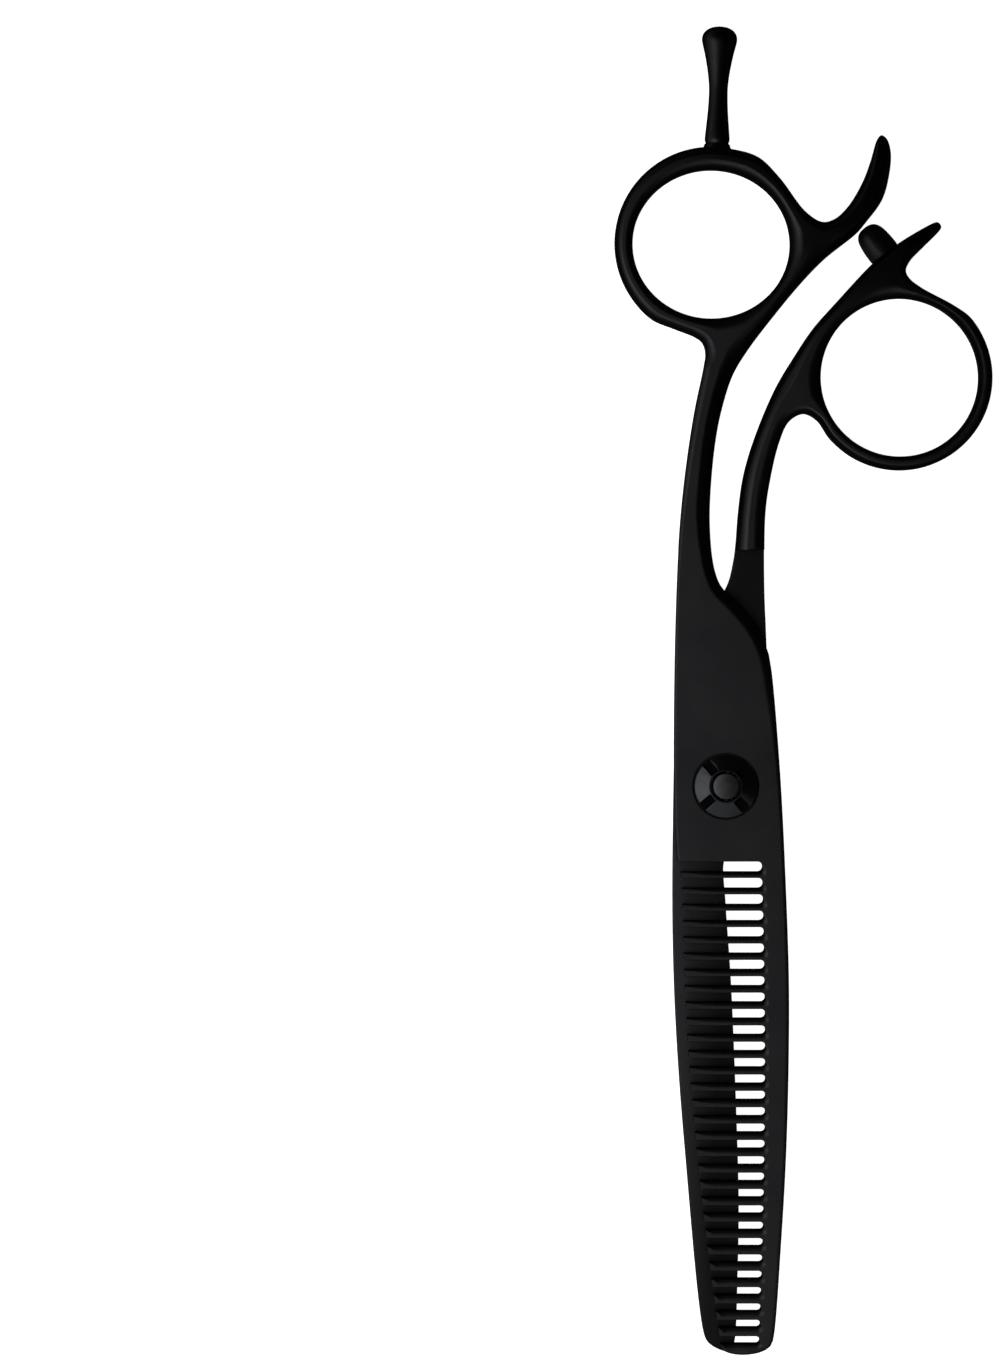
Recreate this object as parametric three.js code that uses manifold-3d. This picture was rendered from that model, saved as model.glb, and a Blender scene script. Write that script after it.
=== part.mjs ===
// Thinning shears, 6 inch class, lying closed and flat. Millimetres, +Z up.
// The pivot axis is the Z axis, the blades point along -Y and the finger rings lie along +Y.
// The comb half (finger ring) lies on top of the blade half (thumb ring); they meet at the mating plane.

import * as THREE from "three";
import { mergeVertices } from "three/addons/utils/BufferGeometryUtils.js";
import Module from "manifold-3d";

const wasm = await Module();
wasm.setup();

// ---------------------------------------------------------------- driving dimensions

const THICKNESS = 5.4; // both halves together at the pivot, and each handle on its own
const MATING_Z = THICKNESS / 2;
const RIDE_GAP = 0.1; // between the two halves
const TIP_THINNING = 1.1; // how much each half has lost at the tips
const TAPER_START_Y = -8; // where the outer faces start to taper
const TIP_Y = -71.9;
const STEP_Y = 29.9; // above this both halves have the full handle thickness

const OUTLINE_STEP = 1.3; // length of the straight pieces that stand for a curve
const ROUNDING_ANGLES = [0, Math.PI / 4, Math.PI / 2]; // rows of an edge rounding, from face to wall
const ROOM_SHARE = 0.8; // part of the local half-width that one edge rounding may take
const FIT = 0.05; // running clearance between neighbours

// handle rings
const FINGER_RING = { centre: [-1.8, 68.7], radius: 12.2 };
const FINGER_HOLE = { centre: [-1.75, 68.55], radii: [9.95, 9.4] };
const THUMB_RING = { centre: [22.1, 51.7], radius: 11.75 };
const THUMB_HOLE_RADIUS = 10;

// comb
const GAP_COUNT = 30;
const GAP_FIRST_Y = -10.14;
const GAP_LAST_Y = -69.96;
const GAP_WIDTH_HEEL = 1.27;
const GAP_WIDTH_TIP = 0.89;
const GAP_REACH_X = -9; // the gaps are cut from here, outside the tooth tips
const GAP_ROOT = { middleY: -35, middleX: 5.06, bow: 0.00062 }; // the gap ends lie on a shallow parabola

// pivot, from the underside up
const HEAD = { radius: 4.5, height: 0.9 };
const SHOULDER = { width: 5, top: 2.5 };
const SHANK_RADIUS = 2;
const THREAD = { radius: 1.75, bottom: 4.1, chamferBottom: 6.1, top: 6.42, endRadius: 1.62 };
const KEY_WIDTH = 2.9; // across the two flats that stop the click washer turning
const BUSH = { inner: SHANK_RADIUS + FIT, outer: 2.9, bottom: 2.75, top: 4.05 };
const RIDE_WASHER = { inner: 3.0, outer: 4.3, bottom: 2.7, top: 3.0 };
const DIAL_WELL = { radius: 4.2, floor: 4.1 };
const SPRING = { inner: 1.95, outer: 3.7, bottom: 4.15, rise: 0.2, thickness: 0.2 };
const CLICK_WASHER = { outer: 3.7, bottom: 4.78, top: 5.05 };
const DIAL = { bore: 1.815, rim: 2.15, outer: 3.95, bottom: 5.1, shoulder: 5.95, top: 6.45, lip: 6.35 };
const DIAL_SLOT = { width: 1.2, inner: 2.15, floor: 5.35, firstAngle: 40.5 };

// finger rest and silencer
const REST = { seat: [-1, 81.3], lean: -1.4, studRadius: 1.2, studLength: 2.8 };
const REST_BOSS = { radius: 1.66, depth: 1.7 };
const SILENCER = { base: [20.24, 67.35], turn: 38, radius: 2.05, length: 4.2 };
const PIN = { stem: 0.75, depth: 3, head: 1.25, headBottom: 2.1, headTop: 2.9 };

// ---------------------------------------------------------------- outlines

/** Points on a circle, counter-clockwise, the angles in degrees from +X. */
function arc({ centre: [x, y], radius }, from, to, count = 10) {
  return Array.from({ length: count }, (_, i) => {
    const angle = THREE.MathUtils.degToRad(from + ((to - from) * i) / (count - 1));
    return [x + radius * Math.cos(angle), y + radius * Math.sin(angle)];
  });
}

/** A smooth curve through the given points, cut into even steps, without its last point. */
function smoothRun(knots) {
  const points = knots.map(([x, y]) => new THREE.Vector3(x, y, 0));
  const curve = new THREE.CatmullRomCurve3(points, false, "centripetal");
  curve.arcLengthDivisions = 2000;
  const steps = Math.round(curve.getLength() / OUTLINE_STEP);
  return curve.getSpacedPoints(steps).slice(0, -1).map((p) => new THREE.Vector2(p.x, p.y));
}

/** A closed outline from its smooth runs, turned so that it starts at its lowest point, the tip. */
function outline(...runs) {
  const loop = runs.flatMap(smoothRun);
  const tip = loop.reduce((lowest, p, i) => (p.y < loop[lowest].y ? i : lowest), 0);
  return [...loop.slice(tip), ...loop.slice(0, tip)];
}

/** The comb half seen from above, counter-clockwise, before its gaps are cut. */
function combOutline() {
  const lapEnd = [[5.5, 16.6], [4.7, 18.8], [3.4, 20.9], [1.6, 23], [-0.2, 24.8]];
  const handle = [
    [-0.2, 24.8], [-0.8, 25.7], [-1.5, 28], [-1.95, 33], [-1.8, 38], [-1.2, 43.7], [-0.4, 47.7], [1, 52],
    [3, 55.3], [6.2, 59.5], [9.6, 63.6], [12.6, 66.7], [16.7, 70], // under the ring
    [17.9, 71.4], [19.9, 74.2], [20.8, 77.4], [21, 80.2], [20.5, 81.9], [19.8, 82.4], [19.3, 81.9], // horn
    [18.4, 79], [17.4, 76.4], [15.6, 73.4], [13.9, 71.8], [12.3, 71.4], [10.2, 72.7], [6.9, 77], [4.2, 79.6],
    ...arc(FINGER_RING, 78, 232),
    [-6.3, 57.8], [-3.8, 56.8], [-2.9, 56.1], [-2.5, 54.8], [-2.7, 53.1], // fillet to the shank
    [-3.8, 47.8], [-4.8, 41.5], [-5.7, 33.2], [-6.25, 21.6], [-6.5, 4.7], [-6.4, -4], [-6.1, -9.4],
  ];
  const toothTips = [
    [-6.1, -9.4], [-5.7, -10.8], [-5.15, -25.2], [-4.4, -37.5], [-3.27, -49.6], [-1.8, -62], [-0.65, -70.2],
  ];
  const spine = [
    [-0.65, -70.2], [-0.3, -71.1], [0.5, -71.7], [1.8, -71.9], [3.5, -71.8], [4.9, -71.4], [5.8, -70.7],
    [6.1, -69.8], [7.1, -57], [7.7, -46], [8, -34], [8, -24], [7.5, -10], [6.9, 1.5], [5.9, 14], [5.5, 16.6],
  ];
  return outline(lapEnd, handle, toothTips, spine);
}

/** The blade half seen from above, counter-clockwise. */
function bladeOutline() {
  const seat = [[22.03, 68.76], [18.57, 66.04]]; // of the silencer
  const inside = [
    [18.57, 66.04], [13.3, 60.4], [11.2, 58], [8.9, 54.6], [6.3, 50.2], [3.6, 43.7], [2.3, 39.2], [1.7, 35],
    [1.1, 28.6], [0.1, 25], [-1.7, 22.9], [-3.4, 20.8], [-4.9, 18.2], [-5.7, 15.4], [-6.2, 10], // under the lap
    [-6.55, -5], [-6.6, -17.9], [-6.2, -30.3], [-5, -46.8], [-2.6, -69.6], // spine
    [-2.1, -70.5], [-1.1, -71.2], [0.2, -71.6], [0.95, -71.2], [1.27, -70], // tip
    [1.6, -62], [1.75, -53], [1.4, -40], [0.76, -24.7], [0.1, -15], [-0.13, -9.7], // cutting edge
    [0.5, -8.3], [2.6, -6.9], [4.9, -5.9], [6, -4.4], [6.2, -2.5], // heel
    [6.05, 5], [5.5, 13], [5.2, 19.9], [5, 25.5], [5.1, 34.5], [5.7, 38.7], [6.9, 43.6],
    [8.1, 46.1], [9.9, 47.1], [11.6, 46.3],
    ...arc(THUMB_RING, 221.5, 400, 12),
    [29, 60.8], [24.8, 63.1], [23.3, 64.3], [22.9, 65.2], [23.4, 66.4], [25.2, 68.3], // small horn
    [27, 70.1], [27.4, 70.7], [27.2, 71.2], [26.8, 71.4], [26, 71.1], [22.03, 68.76],
  ];
  return outline(seat, inside);
}

/** A hole for a finger, clockwise. */
function holeOutline([x, y], [radiusX, radiusY]) {
  return new THREE.EllipseCurve(x, y, radiusX, radiusY, 0, 2 * Math.PI, true).getSpacedPoints(48).slice(1);
}

// ---------------------------------------------------------------- solids

/** A manifold solid from a closed three.js geometry, facing outwards. */
function solid(geometry) {
  const bare = geometry.clone();
  bare.deleteAttribute("normal");
  bare.deleteAttribute("uv");
  const merged = mergeVertices(bare, 1e-4);
  const corners = merged.attributes.position.array;
  const triangles = [];
  for (let i = 0; i < merged.index.count; i += 3) {
    const [a, b, c] = [0, 1, 2].map((k) => merged.index.getX(i + k));
    if (a !== b && b !== c && c !== a) triangles.push([a, b, c]);
  }
  if (signedVolume(corners, triangles) < 0) triangles.forEach((triangle) => triangle.reverse());
  const triVerts = new Uint32Array(triangles.flat());
  return new wasm.Manifold(new wasm.Mesh({ numProp: 3, vertProperties: new Float32Array(corners), triVerts }));
}

/** Six times the volume inside a closed triangle mesh, negative when it faces inwards. */
function signedVolume(corners, triangles) {
  const corner = (i) => new THREE.Vector3().fromArray(corners, 3 * i);
  return triangles.reduce((sum, [a, b, c]) => sum + corner(a).dot(corner(b).cross(corner(c))), 0);
}

/** A three.js geometry of a manifold solid. */
function geometryOf(body) {
  const mesh = body.getMesh();
  const geometry = new THREE.BufferGeometry();
  geometry.setAttribute("position", new THREE.BufferAttribute(mesh.vertProperties, 3));
  geometry.setIndex(new THREE.BufferAttribute(mesh.triVerts, 1));
  geometry.computeVertexNormals();
  return geometry;
}

/** A round bar on the Z axis. */
function bar(radius, bottom, top, segments = 40) {
  const geometry = new THREE.CylinderGeometry(radius, radius, top - bottom, segments);
  return solid(geometry.rotateX(Math.PI / 2).translate(0, 0, (bottom + top) / 2));
}

/** A box from one corner to the opposite one. */
function block([x0, y0, z0], [x1, y1, z1]) {
  const geometry = new THREE.BoxGeometry(x1 - x0, y1 - y0, z1 - z0);
  return solid(geometry.translate((x0 + x1) / 2, (y0 + y1) / 2, (z0 + z1) / 2));
}

/** A turned geometry on the Z axis, from [radius, height] points that close on the axis or on themselves. */
function turned(profile, segments = 40) {
  const points = profile.map(([radius, height]) => new THREE.Vector2(radius, height));
  return new THREE.LatheGeometry(points, segments).rotateX(Math.PI / 2);
}

/** A flat ring on the Z axis. */
function washer({ inner, outer, bottom, top }) {
  return solid(turned([[inner, bottom], [outer, bottom], [outer, top], [inner, top], [inner, bottom]]));
}

/** Unit directions that point into the material, one for each point of a loop. */
function inwardDirections(loop) {
  return loop.map((here, i) => {
    const before = here.clone().sub(loop.at(i - 1)).normalize();
    const after = loop[(i + 1) % loop.length].clone().sub(here).normalize();
    const along = before.add(after).normalize();
    return new THREE.Vector2(-along.y, along.x);
  });
}

/** Radius of the largest circle inside the material that touches the rim at one point. */
function roomInside(start, inward, rim) {
  return rim.reduce((room, p) => {
    const away = p.clone().sub(start);
    const depth = away.dot(inward);
    return depth > 1e-3 ? Math.min(room, away.lengthSq() / (2 * depth)) : room;
  }, Infinity);
}

/** Triangles over a flat region, as corners of the joined list of its loops, counter-clockwise. */
function cover(loops) {
  const all = loops.flat();
  return THREE.ShapeUtils.triangulateShape(loops[0], loops.slice(1)).map(([a, b, c]) => {
    const turn = all[b].clone().sub(all[a]).cross(all[c].clone().sub(all[a]));
    return turn > 0 ? [a, b, c] : [a, c, b];
  });
}

/** Triangles over a whole face of a half, split by a crease across the blade where the taper starts. */
function coverWithCrease(loops) {
  const outer = loops[0];
  const right = outer.findIndex((p) => p.y > TAPER_START_Y);
  const left = outer.findLastIndex((p) => p.y > TAPER_START_Y);
  const indices = outer.map((_, i) => i);
  const handle = indices.slice(right, left + 1);
  const blade = [...indices.slice(left), ...indices.slice(0, right + 1)];
  const holes = loops.slice(1).flat().map((_, i) => outer.length + i);
  const handleCorners = [...handle, ...holes];
  const handleFaces = cover([handle.map((i) => outer[i]), ...loops.slice(1)]);
  const bladeFaces = cover([blade.map((i) => outer[i])]);
  return [
    ...handleFaces.map((face) => face.map((i) => handleCorners[i])),
    ...bladeFaces.map((face) => face.map((i) => blade[i])),
  ];
}

/**
 * A plate between a floor and a ceiling height, with rounded rims. The loops are the outline,
 * counter-clockwise, and its holes, clockwise. lowerEdge and upperEdge give the rounding's width and
 * height at a point of the rim.
 */
function plate({ loops, floor, ceiling, lowerEdge, upperEdge }) {
  const directions = loops.map(inwardDirections);
  const rim = loops.flat();
  const room = loops.map((loop, k) => loop.map((p, i) => roomInside(p, directions[k][i], rim)));
  const row = (edge, height, side, angle) => loops.map((loop, k) => loop.map((p, i) => {
    const rounding = edge(p, directions[k][i]);
    const width = Math.min(rounding.width, ROOM_SHARE * room[k][i]);
    const inset = width * (1 - Math.sin(angle));
    const x = p.x + directions[k][i].x * inset;
    const y = p.y + directions[k][i].y * inset;
    return new THREE.Vector3(x, y, height(y) + side * rounding.height * (1 - Math.cos(angle)));
  }));
  const rows = [
    ...ROUNDING_ANGLES.map((angle) => row(lowerEdge, floor, 1, angle)),
    ...ROUNDING_ANGLES.toReversed().map((angle) => row(upperEdge, ceiling, -1, angle)),
  ];
  const perRow = rim.length;
  const faces = [];
  for (let r = 0; r + 1 < rows.length; r += 1) {
    let first = r * perRow;
    for (const loop of loops) {
      for (let i = 0; i < loop.length; i += 1) {
        const [a, b] = [first + i, first + ((i + 1) % loop.length)];
        faces.push([a, b, b + perRow], [a, b + perRow, a + perRow]);
      }
      first += loop.length;
    }
  }
  const flat = (levels) => levels.map((loop) => loop.map((p) => new THREE.Vector2(p.x, p.y)));
  const last = (rows.length - 1) * perRow;
  faces.push(...coverWithCrease(flat(rows[0])).map(([a, b, c]) => [a, c, b]));
  faces.push(...coverWithCrease(flat(rows.at(-1))).map((face) => face.map((i) => i + last)));
  const geometry = new THREE.BufferGeometry();
  const corners = rows.flat(2).flatMap((p) => [p.x, p.y, p.z]);
  geometry.setAttribute("position", new THREE.Float32BufferAttribute(corners, 3));
  geometry.setIndex(faces.flat());
  return solid(geometry);
}

/** How much an outer face has dropped at a place along the blade. */
function taper(y) {
  return TIP_THINNING * Math.max(0, (TAPER_START_Y - y) / (TAPER_START_Y - TIP_Y));
}

// ---------------------------------------------------------------- comb half

/** Where a gap between two teeth ends, on the spine side. */
function gapRootX(y) {
  return GAP_ROOT.middleX - GAP_ROOT.bow * (y - GAP_ROOT.middleY) ** 2;
}

/** The 30 gaps of the comb, each a slot with a round end. */
function combGaps() {
  const gaps = [];
  for (let i = 0; i < GAP_COUNT; i += 1) {
    const along = i / (GAP_COUNT - 1);
    const y = THREE.MathUtils.lerp(GAP_FIRST_Y, GAP_LAST_Y, along);
    const radius = THREE.MathUtils.lerp(GAP_WIDTH_HEEL, GAP_WIDTH_TIP, along) / 2;
    const shape = new THREE.Shape();
    shape.moveTo(GAP_REACH_X, y - radius);
    shape.lineTo(gapRootX(y) - radius, y - radius);
    shape.absarc(gapRootX(y) - radius, y, radius, -Math.PI / 2, Math.PI / 2, false);
    shape.lineTo(GAP_REACH_X, y + radius);
    const geometry = new THREE.ExtrudeGeometry(shape, {
      depth: THICKNESS, bevelEnabled: false, curveSegments: 4,
    });
    gaps.push(solid(geometry.translate(0, 0, MATING_Z - 0.5)));
  }
  return wasm.Manifold.union(gaps);
}

/** Edge rounding on the comb half's upper side: thin on the left, wide on the spine and the lap's end. */
function combUpperEdge(p, inward) {
  if (p.y > 27) return { width: inward.x > 0 && p.x < 0 ? 0.7 : 1.2, height: 1.2 };
  if (inward.x > 0.2) return { width: 0.3, height: 0.3 };
  return { width: 1, height: 0.9 };
}

function combHalf() {
  const rim = { width: 1, height: 1.1 };
  const body = plate({
    loops: [combOutline(), holeOutline(FINGER_HOLE.centre, FINGER_HOLE.radii)],
    floor: () => 0,
    ceiling: (y) => THICKNESS - taper(y),
    lowerEdge: () => rim,
    upperEdge: combUpperEdge,
  });
  const boss = atRest(bar(REST_BOSS.radius, -REST_BOSS.depth, 0, 32));
  const studBore = atRest(bar(REST.studRadius + FIT, -4.3, 2, 32));
  const under = block([-30, -90, -1], [30, STEP_Y, MATING_Z + RIDE_GAP / 2]);
  const bottom = MATING_Z - 1;
  return body
    .add(boss)
    .subtract(studBore)
    .subtract(under)
    .subtract(combGaps())
    .subtract(bar(RIDE_WASHER.outer + FIT, bottom, RIDE_WASHER.top + FIT))
    .subtract(bar(BUSH.outer + FIT, bottom, THICKNESS))
    .subtract(bar(DIAL_WELL.radius, DIAL_WELL.floor, THICKNESS + 1));
}

// ---------------------------------------------------------------- blade half

/** Edge rounding on the blade half's underside: the wide convex grind along the cutting edge. */
function bladeLowerEdge(p, inward) {
  if (p.y > 20) return { width: 1, height: 1.1 };
  if (p.y < -9.5 && inward.x < -0.2) return { width: 3.4, height: THICKNESS / 2 - 0.25 - taper(p.y) };
  return { width: 0.8, height: 0.7 };
}

function bladeHalf() {
  const rim = { width: 1.1, height: 1.1 };
  const body = plate({
    loops: [bladeOutline(), holeOutline(THUMB_RING.centre, [THUMB_HOLE_RADIUS, THUMB_HOLE_RADIUS])],
    floor: taper,
    ceiling: () => THICKNESS,
    lowerEdge: bladeLowerEdge,
    upperEdge: () => rim,
  });
  const over = block([-30, -90, MATING_Z - RIDE_GAP / 2], [30, STEP_Y, THICKNESS + 1]);
  const side = SHOULDER.width / 2 + FIT;
  const pinBore = atSilencer(bar(PIN.stem + FIT, -PIN.depth - FIT, 1, 24));
  return body
    .subtract(over)
    .subtract(bar(HEAD.radius + 2 * FIT, -1, HEAD.height + FIT))
    .subtract(block([-side, -side, -1], [side, side, THICKNESS]))
    .subtract(pinBore);
}

// ---------------------------------------------------------------- small pieces

/** Turns a solid from the Z axis onto the silencer's axis, with z = 0 on its seat. */
function atSilencer(body) {
  const [x, y] = SILENCER.base;
  return body.rotate([-90, 0, 0]).rotate([0, 0, SILENCER.turn]).translate([x, y, MATING_Z]);
}

/** The rubber stop, open underneath round the pin's head. */
function silencerBumper() {
  const { radius, length } = SILENCER;
  const [stem, head] = [PIN.stem + FIT, PIN.head + FIT];
  const profile = [
    [stem, FIT], [radius - 0.1, FIT], [radius, 0.3], [radius - 0.04, 1.5], [radius - 0.14, 2.4],
    [radius - 0.32, length - 1], [radius - 0.65, length - 0.5], [radius - 1.2, length - 0.15], [0, length],
    [0, PIN.headTop + FIT], [head, PIN.headTop + FIT], [head, PIN.headBottom - FIT],
    [stem, PIN.headBottom - FIT], [stem, FIT],
  ];
  return atSilencer(solid(turned(profile, 32)));
}

/** The pin that holds the rubber stop. */
function silencerPin() {
  const profile = [
    [0, -PIN.depth], [PIN.stem, -PIN.depth], [PIN.stem, PIN.headBottom],
    [PIN.head, PIN.headBottom], [PIN.head, PIN.headTop], [0, PIN.headTop],
  ];
  return atSilencer(solid(turned(profile, 24)));
}

/** Turns a solid from the Z axis onto the finger rest's axis, with z = 0 on its seat. */
function atRest(body) {
  const [x, y] = REST.seat;
  return body.rotate([-90, 0, 0]).rotate([0, 0, REST.lean]).translate([x, y, MATING_Z]);
}

/** The turned finger rest and its stud, which screws into the finger ring. */
function fingerRest() {
  const { studRadius, studLength } = REST;
  const profile = [
    [0, -studLength], [studRadius, -studLength], [studRadius, FIT], [1.58, FIT], [1.56, 0.8],
    [1.38, 2.9], [1.27, 4.3], [1.2, 5.9], [1.2, 7.1], [1.35, 8.7], [1.56, 10], [1.84, 11.4], [2.14, 12.6],
    [2.24, 13.2], [2.08, 13.9], [1.46, 14.5], [0, 14.85],
  ];
  return atRest(solid(turned(profile, 32)));
}

/** The pivot bolt: flat head, square shoulder, round shank, keyed and threaded end. */
function pivotBolt() {
  const half = SHOULDER.width / 2;
  const shank = turned([
    [0, 0], [HEAD.radius, 0], [HEAD.radius, HEAD.height], [SHANK_RADIUS, HEAD.height],
    [SHANK_RADIUS, THREAD.bottom], [THREAD.radius, THREAD.bottom], [THREAD.radius, THREAD.chamferBottom],
    [THREAD.endRadius, THREAD.top], [0, THREAD.top + 0.1],
  ]);
  const shoulder = block([-half, -half, HEAD.height / 2], [half, half, SHOULDER.top]);
  const flatX = KEY_WIDTH / 2;
  const keyBottom = CLICK_WASHER.bottom - 0.2;
  const keyTop = CLICK_WASHER.top + 0.2;
  const flat = block([flatX, -3, keyBottom], [flatX + 2, 3, keyTop]);
  return solid(shank).add(shoulder).subtract(flat).subtract(flat.rotate([0, 0, 180]));
}

/** The washer under the dial, held by the bolt's flats so that it doesn't turn. */
function clickWasher() {
  const { outer, bottom, top } = CLICK_WASHER;
  const flatX = KEY_WIDTH / 2 + FIT;
  const round = bar(THREAD.radius + FIT, bottom - 1, top + 1);
  const hole = round.intersect(block([-flatX, -3, bottom - 1], [flatX, 3, top + 1]));
  return bar(outer, bottom, top).subtract(hole);
}

/** The dished spring between the comb half and the click washer. */
function springWasher() {
  const { inner, outer, bottom, rise, thickness } = SPRING;
  return solid(turned([
    [outer, bottom], [outer, bottom + thickness], [inner, bottom + rise + thickness], [inner, bottom + rise],
    [outer, bottom],
  ]));
}

/** The slotted nut that sets the tension. */
function tensionDial() {
  const { bore, rim, outer, bottom, shoulder, top, lip } = DIAL;
  const ring = solid(turned([
    [bore, bottom], [outer - 0.15, bottom], [outer, bottom + 0.15], [outer, shoulder],
    [outer - 0.2, shoulder + 0.1], [rim, lip], [rim - 0.1, top], [bore + 0.13, top],
    [bore, top - 0.25], [bore, bottom],
  ], 64));
  const half = DIAL_SLOT.width / 2;
  const slot = block([DIAL_SLOT.inner, -half, DIAL_SLOT.floor], [outer + 1, half, top + 1]);
  const slots = [0, 90, 180, 270].map((turn) => slot.rotate([0, 0, DIAL_SLOT.firstAngle + turn]));
  return ring.subtract(wasm.Manifold.union(slots));
}

// ---------------------------------------------------------------- assembly

const blackSteel = { color: "#1b1c1f", roughness: 0.42, metalness: 0.9 };
const dialSteel = { color: "#26282a", roughness: 0.34, metalness: 0.95 };
const springSteel = { color: "#8b8d90", roughness: 0.35, metalness: 1 };
const rubber = { color: "#08080a", roughness: 0.3, metalness: 0 };
const nylon = { color: "#d9d5c8", roughness: 0.55, metalness: 0 };

const pieces = {
  comb_half: [combHalf(), blackSteel],
  blade_half: [bladeHalf(), blackSteel],
  finger_rest: [fingerRest(), blackSteel],
  silencer_bumper: [silencerBumper(), rubber],
  silencer_pin: [silencerPin(), springSteel],
  pivot_bolt: [pivotBolt(), dialSteel],
  pivot_bush: [washer(BUSH), nylon],
  ride_washer: [washer(RIDE_WASHER), nylon],
  spring_washer: [springWasher(), springSteel],
  click_washer: [clickWasher(), springSteel],
  tension_dial: [tensionDial(), dialSteel],
};

const shears = new THREE.Group();
for (const [name, [body, look]] of Object.entries(pieces)) {
  const mesh = new THREE.Mesh(geometryOf(body), new THREE.MeshStandardMaterial(look));
  mesh.name = name;
  shears.add(mesh);
}

export default shears;
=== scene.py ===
"""Thinning shears, closed and lying flat: the looks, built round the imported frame.

Lengths in the modelling functions are millimetres in the part's own frame, and meshes are made in metres.
"""

import math

import bmesh
import bpy
import numpy as np
from mathutils import Euler, Matrix, Vector
from mathutils.geometry import tessellate_polygon


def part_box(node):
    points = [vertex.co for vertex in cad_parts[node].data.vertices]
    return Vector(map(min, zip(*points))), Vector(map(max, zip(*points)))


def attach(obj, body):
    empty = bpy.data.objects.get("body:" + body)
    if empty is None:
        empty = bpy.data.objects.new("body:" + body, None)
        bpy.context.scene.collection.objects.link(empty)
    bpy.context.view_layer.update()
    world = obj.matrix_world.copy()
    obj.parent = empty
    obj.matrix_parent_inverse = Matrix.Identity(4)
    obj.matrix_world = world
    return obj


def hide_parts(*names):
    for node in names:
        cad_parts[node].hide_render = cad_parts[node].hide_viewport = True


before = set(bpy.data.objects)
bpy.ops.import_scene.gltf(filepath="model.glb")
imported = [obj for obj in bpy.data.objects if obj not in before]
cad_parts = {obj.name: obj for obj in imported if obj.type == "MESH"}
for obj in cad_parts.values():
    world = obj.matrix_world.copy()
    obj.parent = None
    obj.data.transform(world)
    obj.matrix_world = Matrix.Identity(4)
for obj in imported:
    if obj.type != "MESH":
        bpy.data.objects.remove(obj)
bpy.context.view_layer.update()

MM = 0.001

# ---------------------------------------------------------------- driving sizes

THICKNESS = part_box("comb_half")[1].z / MM  # of each handle, and of both halves together at the pivot
MATE_DEPTH = THICKNESS / 2 - 0.05  # from a half's outer face to its mating face
MATE_EDGE = 0.08  # size of the fine edge round a mating face
MATE_EDGE_FADE = 1.5  # length over which that edge dies out at the step
TIP_THINNING = 1.1
HORN_TIP_SHARE = 0.42  # of the handle's thickness, at the tips of the horns
TAPER_START_Y = -8.0
TIP_Y = -71.9
STEP_Y = 29.9  # above this both halves have the full handle thickness
STEP_LEAN = 0.08

FINGER_RING = ((-1.8, 68.7), 12.2)
FINGER_HOLE = ((-1.75, 68.55), (9.95, 9.4))
THUMB_RING = ((22.1, 51.7), 11.75)
THUMB_HOLE = ((22.1, 51.7), (10.0, 10.0))

GAP_COUNT = 30
GAP_Y = (-10.14, -69.96)
GAP_WIDTH = (1.27, 0.89)
GAP_ROOT = (5.06, 0.00062, -35.0)  # x at its middle, bow, y of the middle
TOOTH_CORNER = 0.1
TEETH_Y = (-9.42, -70.55)  # the toothed edge lies between these heights
TEETH_X = 5.3  # and on this side of the spine

WELL_RADIUS = 4.2  # of the dial's well in the comb half
WELL_DEPTH = 1.3
BUSH_HOLE_RADIUS = 2.95
WASHER_SEAT_RADIUS = 4.35
WASHER_SEAT_DEPTH = 2.35
HEAD_SEAT_RADIUS = 4.6  # of the bolt head's seat in the blade half
HEAD_SEAT_DEPTH = 0.95
SQUARE_HOLE_HALF = 2.55

REST_SEAT = (-1.0, 81.3)  # where the finger rest meets the finger ring
REST_LEAN = -1.4
SILENCER_BASE = (20.24, 67.35)
SILENCER_TURN = 38
SILENCER_SINK = 0.03  # how deep its base sits in the seat
REST_STEP = 0.22  # spacing of the points along the finger rest's outside
SILENCER_STEP = 0.12
DIAL_RADIUS = 3.95
SLOT_TURNS = [40.5 + 90 * i for i in range(4)]
SLOT_WIDTH = 1.2
SLOT_INNER = 2.15  # from the dial's middle to a slot's inner end
SLOT_FLOOR = 5.35
SLOT_EDGE = 0.05  # width of the bevel along a slot's edges
SHOULDER_WIDTH = 5.0  # of the bolt's square shoulder
KEY_HALF_WIDTH = 1.45  # from the bolt's middle to each of its two key flats
KEY_HEIGHTS = (4.58, 5.25)

VIEW_CENTRE = (-28.227, 12.658, 3)  # the middle of what the camera frames
VIEW_HEIGHT = 173.664
LENS = 150
SENSOR = 36
FLOOR_SIZE = 6000
BACKDROP_RADIUS = 2900
CARD_SIZE = (160, 300)
CARD_TURN = 45
CARD_EDGE = 47.0  # from the pivot to the card's near edge
CARD_HEIGHT = 32.0

HANDLE_STEP = 0.25  # spacing of an outline's points
LAP_STEP = 0.4
TIP_STEP = 0.5
SPINE_STEP = 0.8
ROUND_ROWS = 4  # rows of points in each rounded corner of an edge
FLAT_MARGIN = 0.08
ROOM_SHARE = 0.85  # part of the local half-width that one edge may take
CHORD_ROWS = 10
SHARP_ANGLE = 30


# ---------------------------------------------------------------- plan outlines


def arc(ring, start, end, count=10):
    """Knots on a circle, the angles in degrees from +X, counter-clockwise."""
    (x, y), radius = ring
    angles = np.radians(np.linspace(start, end, count))
    return [(x + radius * math.cos(a), y + radius * math.sin(a)) for a in angles]


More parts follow.
